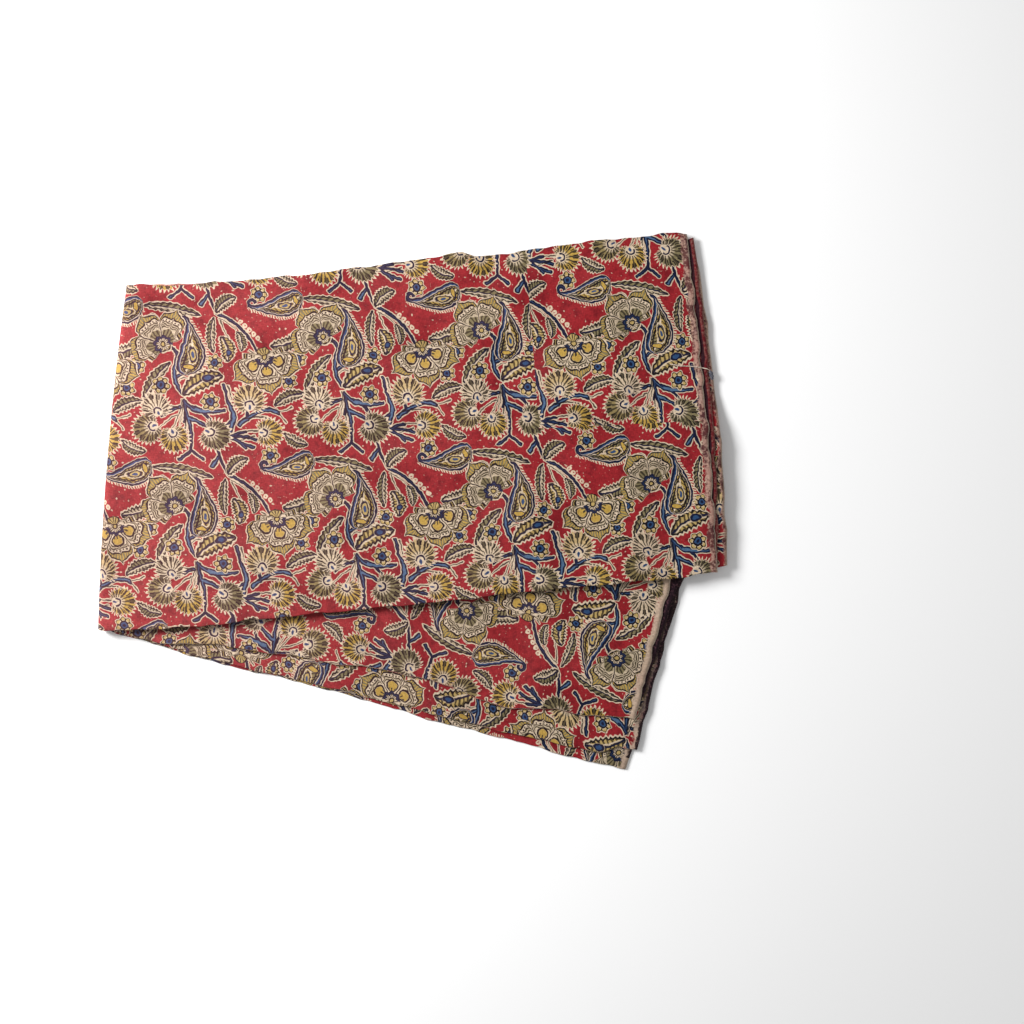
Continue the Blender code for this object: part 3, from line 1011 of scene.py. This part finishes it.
def blockPrint(point):
    # The whole block: ground, strokes, chains, leaves, carnations, florets, paisleys, flowers, in that order.
    _, wander = noiseAt(point, 1.0 / block["handGrain"], 1.5)
    astray = block["handWander"] * 2
    shift = vector("MULTIPLY", vector("SUBTRACT", wander, (0.5, 0.5, 0.5)), (astray, astray, 0.0))
    x, y, _ = parts(point)
    away = x - block["joinAt"]
    late = away.above(0.0) * y.above(block["secondRow"])
    point = joined(x + late * block["joinSlip"], y)
    at = vector("ADD", point, shift)
    uneven, _ = noiseAt(point, block["unevenScale"], 2.0, 0.6)
    halfRepeat, halfJoin = block["repeat"][0] / 2, block["joinWidth"] / 2
    fromJoin = away.math("WRAP", halfRepeat, -halfRepeat)
    overlap = inside((fromJoin - halfJoin).size() - halfJoin, block["joinSoft"])
    patches = uneven.ramp(4.0, -1.9).most(overlap * uneven.scaled(1.6, -0.1))
    colour = paint("red", "redDeep", patches.math("MULTIPLY", 0.75, clamp=True))
    speck, _ = noiseAt(point, block["speckScale"], 0.0)
    colour = paint(colour, "cream", speck.ramp(16.0, -13.0) * 0.8)
    copyGroup, stroke = nearerCopyGroup(), strokeGroup()
    blueReach = strokes(at, stroke, blueStrokes)
    creamReach = strokes(at, stroke, creamStrokes)
    colour = layers(
        colour,
        ("cream", inside((blueReach - block["halo"]).least(creamReach - 0.2))),
        ("blue", inside(blueReach)),
        ("blueLight", inside(blueReach + 1.3)),
        ("navy", line(blueReach, -0.3, 1.0)),
        ("outline", inside(creamReach + 0.7) * 0.9))
    for copies, group in (
            (copiesOf(chains), beadGroup()), (leafCopies(), leafGroup()),
            (copiesOf(carnations), carnationGroup()),
            (copiesOf(florets, block["floretGirth"]), floretGroup()),
            (paisleyCopies(), paisleyGroup()), (copiesOf(flowers), flowerGroup())):
        colour = place(group, Point=nearest(at, copyGroup, copies), Under=colour)["Over"]
    return colour


def newMaterial(name):
    # A material with its node tree and its shader.
    material = bpy.data.materials.new(name)
    material.use_nodes = True
    return material, material.node_tree, material.node_tree.nodes["Principled BSDF"]


def attribute(tree, name):
    node = tree.nodes.new("ShaderNodeAttribute")
    node.attribute_name = name
    return Wire(tree, node.outputs["Fac"])


def uvPlace(tree, name):
    node = tree.nodes.new("ShaderNodeUVMap")
    node.uv_map = name
    return Wire(tree, node.outputs[0])


# How the print thins out at the selvedges, how the cotton itself looks, and the painted light and shade laid
# on it. Lengths in millimetres.
cotton = {
    "band": 6.6,               # unprinted selvedge
    "bandWander": 9.0,         # how far the edge of the print wanders
    "narrower": 3.4,           # by how much on the upper half's inner leaves
    "bandSoft": 1.6,
    "edgeLine": 0.9,
    "thread": 0.75,            # as wide as the weave shows from where the camera is
    "threadLength": 3.2,
    "weaveShade": (0.66, 0.39),  # how much lighter a thread gets with its height, and the least
    "roughness": 0.92,
    "gloss": 0.10,
    "relief": 0.00012,
    "lowerFrom": -0.30,        # metres across, where the lower half's selvedges begin
    # width of the painted shade at the edges of the lower half's inner leaves
    "darkBand": (3.0, 17.0),   # on the printed face and on the back
    "stainScale": 70.0,
    "fineScale": 420.0,
    "broadScale": 22.0,
    # painted light: the colour is paled towards the last fold, the side the key light comes from
    "paintedLightShare": 0.12,              # most at the last fold
    "paintedLightReach": 0.50,
    "backPale": 0.55,
    "deep": (0.62, 0.58, 0.60),
}
dyes.update({
    "selvedge": tint(196, 156, 140),
    "selvedgeStain": tint(84, 30, 38),
    "selvedgeLow": tint(216, 192, 168),
    # red darkened as in shadow: painted shade beside the upper half's first leaf
    "shadedRed": tint(124, 24, 36),
    "edge": tint(236, 218, 196),
    # near black with lighter specks: painted shade over the inner leaves' edges
    "edgeShade": tint(40, 24, 34),
    "edgeShadeLight": tint(112, 74, 84),
    "back": tint(198, 122, 116),
    # pale pink: painted light towards the last fold
    "paintedLight": tint(216, 150, 146),
})


def weaveGroup():
    # Threads both ways. "Weave" is near 0.5 on average.
    flat = newGroup("plain weave", {"Place": "Vector"}, {"Weave": "Float"})["Place"]
    short, long = 1000 / cotton["thread"], 1000 / cotton["threadLength"]
    warp, _ = noiseAt(vector("MULTIPLY", flat, (short, long, 0.0)), 1.0, 0.0)
    weft, _ = noiseAt(vector("MULTIPLY", flat, (long, short, 0.0)), 1.0, 0.0)
    return giveOut(Weave=(warp + weft) * 0.5)


def selvedgeGroup():
    # Selvedge without print, stained here and there, and painted shade with lighter specks over the crinkled
    # edges of the inner leaves.
    given = newGroup("selvedge", {
        "Under": "Color", "Place": "Vector", "From Edge": 0.0, "Unprinted": 0.0}, {"Over": "Color"})
    away = given["From Edge"] * 1000
    across, length, _ = parts(given["Place"])
    broad, _ = noiseAt(given["Place"], cotton["stainScale"], 3.0, 0.65)
    fine, _ = noiseAt(given["Place"], cotton["fineScale"], 2.0, 0.6)
    lower = across.below(cotton["lowerFrom"])
    upper = 1.0 - lower
    reach = away + length.below(0.0) * upper * cotton["narrower"]
    reach = reach - (broad * cotton["bandWander"] + (cotton["band"] - cotton["bandWander"] / 2))
    band = inside(reach + fine.scaled(3.0, -1.5), cotton["bandSoft"])
    stain = (broad * 1.8 + fine).ramp(4.0, -5.4)
    # Near black with lighter specks, for the painted shade.
    edgeShade = paint("edgeShade", "edgeShadeLight", fine.ramp(4.0, -2.1))
    # Painted shade: the lower half's inner leaves are darkened at their edges, as in the shadow of the leaves
    # above, and those under the first two also in their bands.
    inner = length.above(-4 * cloth["leafHeight"]) * length.below(-0.01) * lower
    covered = length.ramp(-50.0, -50.0 * (2 * cloth["leafHeight"] + 0.035))
    plain = paint("selvedge", "selvedgeStain", stain * (0.9 - lower * 0.5))
    plain = paint(plain, "selvedgeLow", lower * 0.8)
    plain = paint(plain, edgeShade, covered * inner * 0.85)
    colour = paint(given["Under"], plain, band * 0.92)
    # The upper half's second leaf shows as a strip of painted shade: red darkened as in shadow, and a dark
    # line of painted shadow in the gap beside the first leaf's edge.
    second = length.above(-cloth["leafHeight"]) * length.below(-0.004) * upper
    colour = layers(
        colour,
        ("shadedRed", inside(away - 9.0) * second * fine.scaled(0.9, 0.35)),
        ("edgeShade", inside((away - 5.4).size() - 1.9, 0.8) * second * 0.9),
        ("edge", inside(away - cotton["edgeLine"]) * (0.6 - second * 0.5)))
    # Painted shade at the edges of the lower half's inner leaves, narrow on the printed face and wide on the
    # back.
    low, high = cotton["darkBand"]
    fringe = away - given["Unprinted"].scaled(high - low, low)
    colour = paint(colour, edgeShade, inner * inside(fringe + fine.scaled(5.0, -2.5), 1.5) * 0.95)
    return giveOut(Over=colour)


def printedCotton():
    material, tree, shader = newMaterial("printedCotton")
    flat = uvPlace(tree, "Cloth")
    colour = blockPrint(uvPlace(tree, "Print"))
    unprinted = 1.0 - attribute(tree, "printed")
    colour = paint(colour, "back", unprinted * cotton["backPale"])
    colour = place(selvedgeGroup(), Under=colour, Place=flat, Unprinted=unprinted,
                   **{"From Edge": attribute(tree, "fromSelvedge")})["Over"]
    # Painted light: the colour is paled, unevenly, towards the last fold, the side the key light comes from.
    across, _, _ = parts(flat)
    broad, _ = noiseAt(flat, cotton["broadScale"], 3.0, 0.6)
    paintedLight = (across.size() * -1.0 / cotton["paintedLightReach"] + broad * 0.9).math("ADD", 0.5, clamp=True)
    colour = paint(colour, "paintedLight", paintedLight * cotton["paintedLightShare"])
    deep = vector("MULTIPLY", colour, cotton["deep"])
    colour = paint(colour, deep, broad.ramp(-3.0, 1.55) * 0.8)
    weave = place(weaveGroup(), Place=flat)["Weave"]
    shade = weave.scaled(*cotton["weaveShade"])
    plug(vector("MULTIPLY", colour, joined(shade, shade, shade)), shader.inputs["Base Color"])
    bump = tree.nodes.new("ShaderNodeBump")
    bump.inputs["Distance"].default_value = cotton["relief"]
    bump.inputs["Strength"].default_value = 1.0
    plug(weave, bump.inputs["Height"])
    tree.links.new(bump.outputs["Normal"], shader.inputs["Normal"])
    shader.inputs["Roughness"].default_value = cotton["roughness"]
    shader.inputs["Specular IOR Level"].default_value = cotton["gloss"]
    return material


piece = makeSheet()
piece.data.materials.append(printedCotton())
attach(piece, "root")
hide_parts("folded_cloth")

# A thread that has come loose at the right-hand selvedge, and the knot at its end. Points along the thread.
looseThread = {
    "way": ((0.2435, 0.1300), (0.2530, 0.1284), (0.2640, 0.1279), (0.2735, 0.1268), (0.2790, 0.1256),
            (0.2822, 0.1240)),
    "radius": 0.0005,
    "sides": 6,
    "steps": 8,
    "twistScale": 900.0,
    "colours": (tint(222, 206, 188), tint(150, 126, 112)),
    "knotAt": (0.2830, 0.1198),
    "knotHalf": (0.0019, 0.0047, 0.0015),
    "knotTurn": 0.25,
    "knotLumps": ((0.16, 5.0, 9.0), (0.07, 17.0, 23.0)),  # how far, and how close, along two ways each
    "knotColours": (tint(104, 104, 112), tint(34, 34, 48)),
}


def lieOn(x, y, radius):
    # Height at which a thread rests on the cloth, or on the floor beside it.
    hit, where, _, _ = piece.ray_cast((x, y, 1.0), (0.0, 0.0, -1.0))
    return (where.z if hit else 0.0) + radius


def makeThread():
    radius, sides, steps = looseThread["radius"], looseThread["sides"], looseThread["steps"]
    way = [Vector((x, y, lieOn(x, y, radius))) for x, y in looseThread["way"]]
    rests = []
    for first, last in zip(way, way[1:]):
        for step in range(steps):
            at = first.lerp(last, step / steps)
            rests.append(Vector((at.x, at.y, max(at.z, lieOn(at.x, at.y, radius)))))
    rests.append(way[-1])
    corners, faces = [], []
    for number, at in enumerate(rests):
        ahead = (rests[min(number + 1, len(rests) - 1)] - rests[max(number - 1, 0)]).normalized()
        side = ahead.cross(Vector((0, 0, 1))).normalized() * radius
        lift = side.cross(ahead)
        for turn in range(sides):
            angle = turn / sides * 2 * math.pi
            corners.append(at + side * math.cos(angle) + lift * math.sin(angle))
    for number in range(len(rests) - 1):
        for turn in range(sides):
            near, far = number * sides + turn, number * sides + (turn + 1) % sides
            faces.append((near, far, far + sides, near + sides))
    faces += [tuple(range(sides))[::-1], tuple(range(len(corners) - sides, len(corners)))]
    mesh = newMesh("looseThread", corners, faces)
    mesh.shade_smooth()
    return putIn("looseThread", mesh), rests[-1]


def makeKnot(end):
    built = bmesh.new()
    bmesh.ops.create_icosphere(built, subdivisions=4, radius=1.0)
    wide, long, high = looseThread["knotHalf"]
    turn = looseThread["knotTurn"]
    (deep, deepX, deepY), (fine, fineY, fineZ) = looseThread["knotLumps"]
    for corner in built.verts:
        at = corner.co.copy()
        rough = 1.0 + deep * math.sin(at.y * deepY + at.x * deepX)
        rough = rough + fine * math.sin(at.z * fineZ + at.y * fineY)
        x, y = at.x * wide * rough, at.y * long * (1.0 + 0.1 * (rough - 1.0))
        corner.co = (x * math.cos(turn) - y * math.sin(turn), x * math.sin(turn) + y * math.cos(turn),
                     at.z * high * rough)
    mesh = bpy.data.meshes.new("threadKnot")
    built.to_mesh(mesh)
    built.free()
    mesh.shade_smooth()
    knot = putIn("threadKnot", mesh)
    x, y = looseThread["knotAt"]
    knot.location = (x, y, max(end.z - high * 0.5, lieOn(x, y, high * 0.8)))
    return knot


def threadMaterial(name, light, dark):
    material, tree, shader = newMaterial(name)
    where = Wire(tree, tree.nodes.new("ShaderNodeTexCoord").outputs["Object"])
    twist, _ = noiseAt(where, looseThread["twistScale"], 2.0, 0.6)
    plug(paint(light, dark, twist.ramp(4.0, -1.5)), shader.inputs["Base Color"])
    shader.inputs["Roughness"].default_value = cotton["roughness"]
    return material


thread, threadEnd = makeThread()
thread.data.materials.append(threadMaterial("threadCotton", *looseThread["colours"]))
knot = makeKnot(threadEnd)
knot.data.materials.append(threadMaterial("knotCotton", *looseThread["knotColours"]))
for loose in (thread, knot):
    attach(loose, "root")
print("loose thread:", len(thread.data.polygons) + len(knot.data.polygons), "faces with its knot")

# The room: a pale floor, a soft key light from the left and a wide fill. The camera looks straight down.
room = {
    "pictureWide": 1024 * 0.952 / 1000,
    "cameraAt": (0.094, -0.010, 1.50),
    "floorHalf": 4,
    "floorColour": (0.96, 0.96, 0.96, 1.0),
    "floorRoughness": 0.95,
    "lightAt": (-0.90, 0.45, 0.85),
    "lightSize": 0.6,
    "lightPower": 28.0,
    "fillColour": (1.0, 1.0, 1.0, 1.0),
    "fillPower": 0.44,
}


def makeCamera():
    data = bpy.data.cameras.new("camera")
    data.sensor_fit = "HORIZONTAL"
    data.angle = 2 * math.atan(room["pictureWide"] / 2 / room["cameraAt"][2])
    camera = putIn("camera", data)
    camera.location = room["cameraAt"]
    bpy.context.scene.camera = camera


def makeFloor():
    half = room["floorHalf"]
    corners = [(-half, -half, 0), (half, -half, 0), (half, half, 0), (-half, half, 0)]
    mesh = newMesh("floor", corners, [(0, 1, 2, 3)])
    floor = putIn("floor", mesh)
    material, _, shader = newMaterial("paleFloor")
    shader.inputs["Base Color"].default_value = room["floorColour"]
    shader.inputs["Roughness"].default_value = room["floorRoughness"]
    mesh.materials.append(material)


def makeLight():
    data = bpy.data.lights.new("keyLight", "AREA")
    data.shape = "DISK"
    data.size = room["lightSize"]
    data.energy = room["lightPower"]
    light = putIn("keyLight", data)
    light.location = room["lightAt"]
    light.rotation_euler = (-light.location).to_track_quat("-Z", "Y").to_euler()


def makeWorld():
    scene = bpy.context.scene
    scene.world = bpy.data.worlds.new("studio")
    scene.world.use_nodes = True
    backdrop = scene.world.node_tree.nodes["Background"]
    backdrop.inputs["Color"].default_value = room["fillColour"]
    backdrop.inputs["Strength"].default_value = room["fillPower"]
    scene.view_settings.view_transform = "Standard"


makeCamera()
makeFloor()
makeLight()
makeWorld()
print("stage: floor, light and camera")
